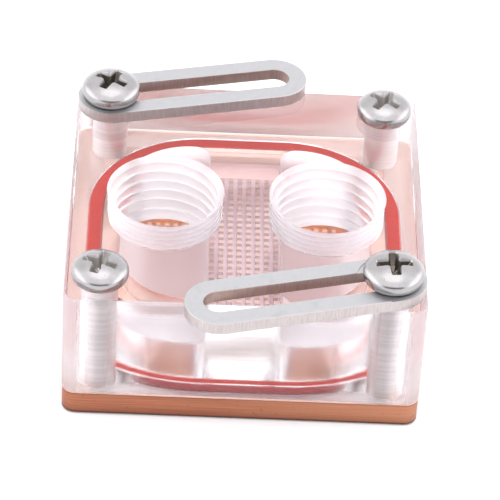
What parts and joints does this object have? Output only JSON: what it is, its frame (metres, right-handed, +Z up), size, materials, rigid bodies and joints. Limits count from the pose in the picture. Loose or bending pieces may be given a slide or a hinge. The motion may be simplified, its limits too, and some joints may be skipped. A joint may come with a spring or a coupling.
{
  "type": "liquid cooling cold plate",
  "caption": "Square liquid cooling cold plate: copper pin-fin base under a clear ported block with a seal ring, corner screws and slotted swinging mounting arms.",
  "frame": {"origin": "middle of the copper plate's underside, the face that lies on the part being cooled", "axes": "+Z up out of the ports, +X from the left port to the right port, +Y to the back"},
  "size_m": [0.04, 0.0496, 0.0205],
  "materials": {
    "copper": "bare machined copper, brushed sides",
    "clear_acrylic": "polished clear outside, frosted where threads, chambers and holes are machined",
    "red_rubber": "smooth soft silicone",
    "bright_steel": "bright plated",
    "satin_steel": "satin faces, cut edges with fine upright lines"
  },
  "bodies": {
    "block": {"base_plate": "copper", "port_block": "clear_acrylic", "seal_ring": "red_rubber", "screw_front_left": "bright_steel", "screw_front_right": "bright_steel", "screw_back_left": "bright_steel", "screw_back_right": "bright_steel"},
    "front_arm": {"arm_front": "satin_steel"},
    "back_arm": {"arm_back": "satin_steel"}
  },
  "joints": [
    {"name": "front_arm_swing", "type": "hinge", "parent": "block", "child": "front_arm", "pos_m": [0.0161, -0.0161, 0.0174], "axis": [0, 0, 1], "continuous": true},
    {"name": "back_arm_swing", "type": "hinge", "parent": "block", "child": "back_arm", "pos_m": [-0.0161, 0.0161, 0.0174], "axis": [0, 0, 1], "continuous": true}
  ]
}
